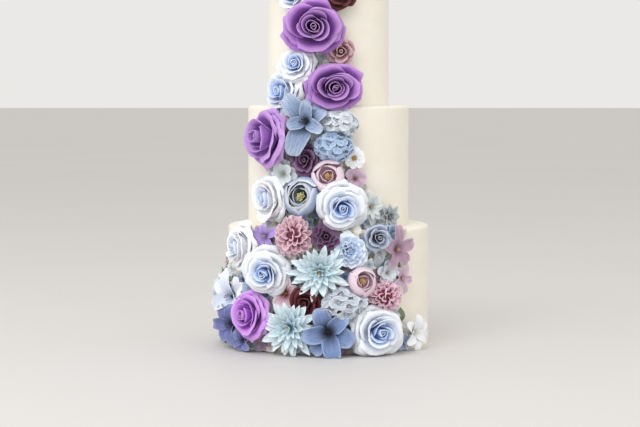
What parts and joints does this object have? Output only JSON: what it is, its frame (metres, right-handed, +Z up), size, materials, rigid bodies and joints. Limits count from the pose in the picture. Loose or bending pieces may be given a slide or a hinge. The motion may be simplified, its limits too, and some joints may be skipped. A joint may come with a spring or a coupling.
{
  "type": "tiered wedding cake",
  "caption": "Tall round tiered wedding cake in smooth ivory icing, with a dense cascade of sugar flowers down its front, in blues, purples, mauves and pale mint.",
  "frame": {"origin": "centre of the flat underside of the bottom tier, on the axis that all the tiers share", "axes": "+Z up, -Y towards the front where the flowers run down, +X to the right as seen from the front"},
  "size_m": [0.2762, 0.2906, 0.4945],
  "materials": {
    "icing": "smooth satin ivory sugar icing",
    "petal_violet": "matt sugar paste, violet petals with lighter rims",
    "petal_sky": "matt sugar paste, pale sky-blue petals",
    "petal_white": "matt sugar paste, white petals, faintly blue and green",
    "petal_ice": "matt sugar paste, pale ice-blue petals, paler at the rims",
    "petal_dusk": "matt sugar paste, dusty rose-brown petals",
    "petal_slate": "matt sugar paste, dusty slate-blue petals",
    "petal_mauve": "matt sugar paste, dusty mauve petals",
    "petal_plum": "matt sugar paste, dark plum petals",
    "petal_blush": "matt sugar paste, pink-mauve petals, paler outside",
    "petal_sage": "matt sugar paste, pale sage-white petals",
    "petal_grey": "matt sugar paste, grey-green petals",
    "petal_lilac": "matt sugar paste, muted lilac petals",
    "petal_rosewood": "matt sugar paste, dusty rosewood-pink petals",
    "petal_cream": "matt sugar paste, cream-white petals",
    "petal_mint": "matt sugar paste, pale mint-blue petals",
    "petal_wine": "matt sugar paste, burgundy petals",
    "petal_magenta": "matt sugar paste, bright red-violet petals"
  },
  "bodies": {
    "root": {"tier_bottom": "icing", "tier_middle": "icing", "tier_top": "icing", "rose_violet_crown": "petal_violet", "hydrangea_sky_crown": "petal_sky", "hydrangea_white_crown": "petal_white", "rose_ice_crown": "petal_ice", "rose_dusk_crown": "petal_dusk", "rose_violet_upper": "petal_violet", "rose_dusk_upper": "petal_dusk", "rose_ice_upper": "petal_ice", "rose_violet_middle": "petal_violet", "rose_ice_turned": "petal_ice", "lily_slate_upper": "petal_slate", "rose_violet_left": "petal_violet", "hydrangea_white_upper": "petal_white", "hydrangea_sky_upper": "petal_sky", "daisy_white": "petal_white", "cosmos_mauve_upper": "petal_mauve", "rose_plum_upper": "petal_plum", "peony_blush_upper": "petal_blush", "gardenia_sage": "petal_sage", "rose_ice_midleft": "petal_ice", "anemone_slate": "petal_slate", "rose_ice_center": "petal_ice", "cosmos_sage": "petal_sage", "cosmos_grey": "petal_grey", "cosmos_violet": "petal_lilac", "mum_rose_left": "petal_rosewood", "dahlia_plum": "petal_plum", "blossom_cream": "petal_cream", "rose_slate_small": "petal_slate", "carnation_sky": "petal_sky", "rose_ice_farleft": "petal_ice", "cosmos_mauve_right": "petal_mauve", "leaf_sage": "petal_sage", "blossom_white_middle": "petal_white", "dahlia_mint_upper": "petal_mint", "rose_ice_lowleft": "petal_ice", "blossom_white_right": "petal_white", "peony_blush_lower": "petal_blush", "cosmos_pale_right": "petal_mauve", "cosmos_wine": "petal_wine", "blossom_lavender": "petal_lilac", "blossom_white_left": "petal_white", "mum_rose_right": "petal_rosewood", "rose_wine": "petal_wine", "lily_slate_left_high": "petal_slate", "hydrangea_white_lower": "petal_white", "rose_magenta": "petal_magenta", "dahlia_mint_lower": "petal_mint", "lily_slate_left_low": "petal_slate", "lily_slate_lower": "petal_slate", "rose_ice_lower": "petal_ice", "lily_white_foot": "petal_white", "lily_slate_foot": "petal_slate", "rose_ice_side": "petal_ice", "cosmos_mauve_side": "petal_mauve", "blossom_white_side": "petal_white", "cosmos_lilac_side": "petal_lilac"}
  },
  "joints": []
}
